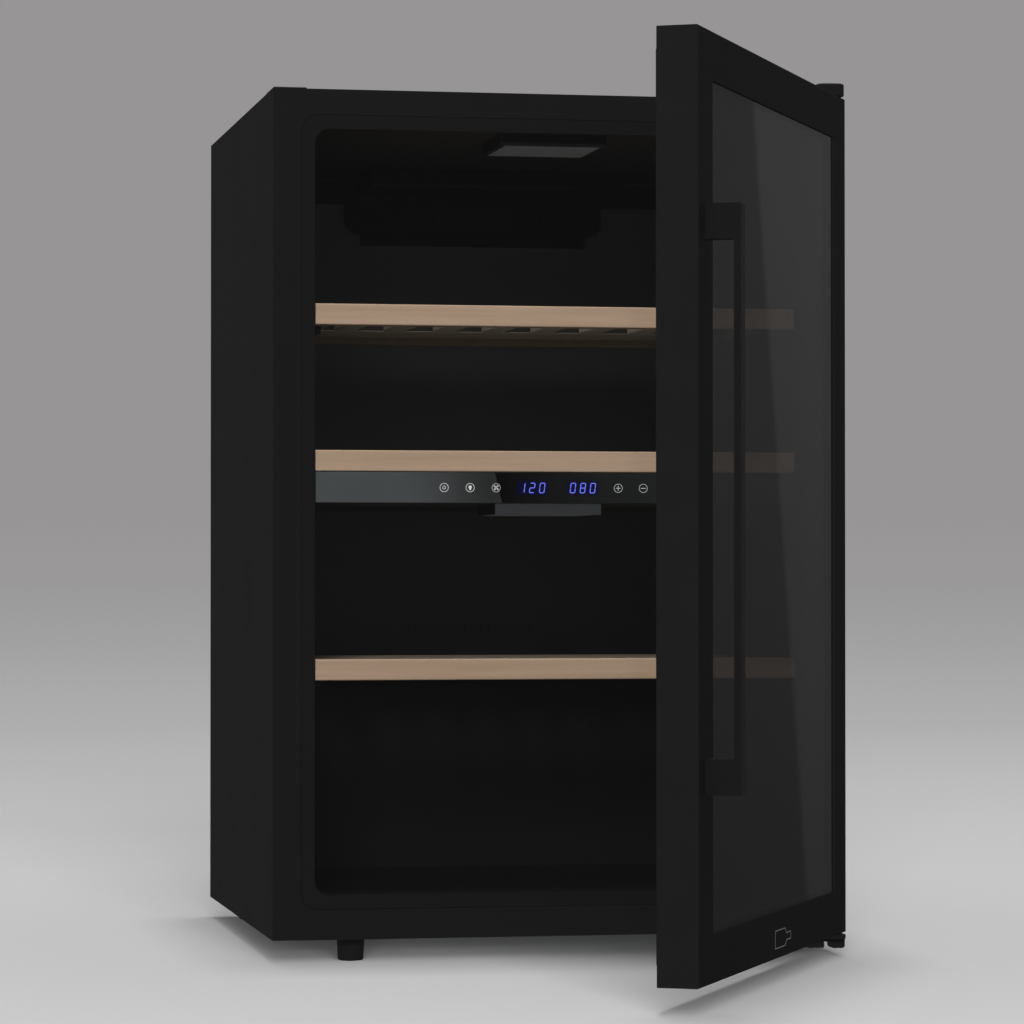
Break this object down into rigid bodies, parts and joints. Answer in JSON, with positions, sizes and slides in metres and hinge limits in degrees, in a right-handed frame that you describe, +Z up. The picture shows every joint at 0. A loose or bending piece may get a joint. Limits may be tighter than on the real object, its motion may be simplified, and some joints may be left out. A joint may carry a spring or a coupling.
{
  "type": "wine cooler",
  "caption": "Free-standing two-zone compressor wine cooler with a black cabinet, a hinged tinted-glass door, slatted wooden shelves and a touch control strip.",
  "frame": {"origin": "on the floor, at the middle of the cabinet's width, in the plane of its front face, which is also the bottom centre of the box round the cooler with its door at the rest opening", "axes": "+X to the right along the front, +Y to the back, +Z up"},
  "size_m": [0.5626, 1.0427, 0.854],
  "materials": {
    "cabinet_paint": "satin",
    "galvanised_sheet": "matte",
    "liner_plastic": "satin",
    "foam": "matte",
    "black_plastic": "matte",
    "compressor_enamel": "satin",
    "mount_rubber": "matte",
    "tray_plastic": "matte",
    "condenser_paint": "satin",
    "panel_glass": "gloss",
    "board": "satin",
    "display": "gloss",
    "diffuser": "satin",
    "evaporator_aluminium": "satin",
    "motor_metal": "satin",
    "hinge_steel": "satin",
    "screw_steel": "satin",
    "beech": "satin",
    "door_black": "satin",
    "tinted_glass": "gloss",
    "clear_glass": "gloss",
    "spacer": "matte",
    "gasket": "matte",
    "handle_black": "matte",
    "bush": "matte"
  },
  "bodies": {
    "cabinet": {"back_panel": "galvanised_sheet", "base_plate": "galvanised_sheet", "bottom_hinge_bracket": "hinge_steel", "bottom_shelf_cross_rails": "beech", "bottom_shelf_front_rail": "beech", "bottom_shelf_slats": "beech", "compressor": "compressor_enamel", "compressor_mounts": "mount_rubber", "compressor_terminal_cover": "black_plastic", "condenser_coil": "condenser_paint", "control_board": "board", "control_panel_glass": "panel_glass", "control_panel_housing": "black_plastic", "cover_stays": "black_plastic", "display_modules": "display", "drip_channel": "black_plastic", "evaporation_tray": "tray_plastic", "evaporator": "evaporator_aluminium", "evaporator_cover": "black_plastic", "evaporator_fan_motor": "motor_metal", "front_frame": "cabinet_paint", "hinge_hole_cover": "black_plastic", "hinge_screws": "screw_steel", "inner_liner": "liner_plastic", "insulation_foam": "foam", "lamp_diffusers": "diffuser", "lamp_housings": "black_plastic", "left_side_panel": "cabinet_paint", "lower_air_panel": "liner_plastic", "machine_room_grille": "black_plastic", "machine_room_wall": "galvanised_sheet", "main_control_box": "black_plastic", "middle_shelf_cross_rails": "beech", "middle_shelf_front_rail": "beech", "middle_shelf_slats": "beech", "power_inlet": "black_plastic", "rear_feet": "black_plastic", "right_side_panel": "cabinet_paint", "temperature_sensors": "black_plastic", "top_hinge_bracket": "hinge_steel", "top_hinge_cover": "black_plastic", "top_panel": "cabinet_paint", "top_shelf_cross_rails": "beech", "top_shelf_front_rail": "beech", "top_shelf_slats": "beech", "upper_air_panel": "liner_plastic", "zone_divider": "liner_plastic", "zone_fan_motor": "motor_metal"},
    "door": {"door_frame": "door_black", "outer_glass": "tinted_glass", "inner_glass": "clear_glass", "glass_spacer": "spacer", "door_gasket": "gasket", "door_handle": "handle_black", "handle_screws": "screw_steel", "door_bushes": "bush"},
    "evaporator_fan": {"evaporator_fan_rotor": "black_plastic"},
    "zone_fan": {"zone_fan_rotor": "black_plastic"},
    "left_levelling_foot": {"front_foot_left": "black_plastic"},
    "right_levelling_foot": {"front_foot_right": "black_plastic"}
  },
  "joints": [
    {"name": "door_hinge", "type": "hinge", "parent": "cabinet", "child": "door", "pos_m": [0.26465, -0.0303, 0], "axis": [0, 0, 1], "range_deg": [-61.5, 48.5]},
    {"name": "evaporator_fan_spin", "type": "hinge", "parent": "cabinet", "child": "evaporator_fan", "pos_m": [0.072, 0.418, 0.8], "axis": [0, 0, 1], "continuous": true},
    {"name": "zone_fan_spin", "type": "hinge", "parent": "cabinet", "child": "zone_fan", "pos_m": [0, 0.48, 0.367], "axis": [0, 1, 0], "continuous": true},
    {"name": "left_foot_turn", "type": "hinge", "parent": "cabinet", "child": "left_levelling_foot", "pos_m": [-0.2005, 0.026, 0], "axis": [0, 0, 1], "continuous": true},
    {"name": "right_foot_turn", "type": "hinge", "parent": "cabinet", "child": "right_levelling_foot", "pos_m": [0.2005, 0.026, 0], "axis": [0, 0, 1], "continuous": true}
  ]
}
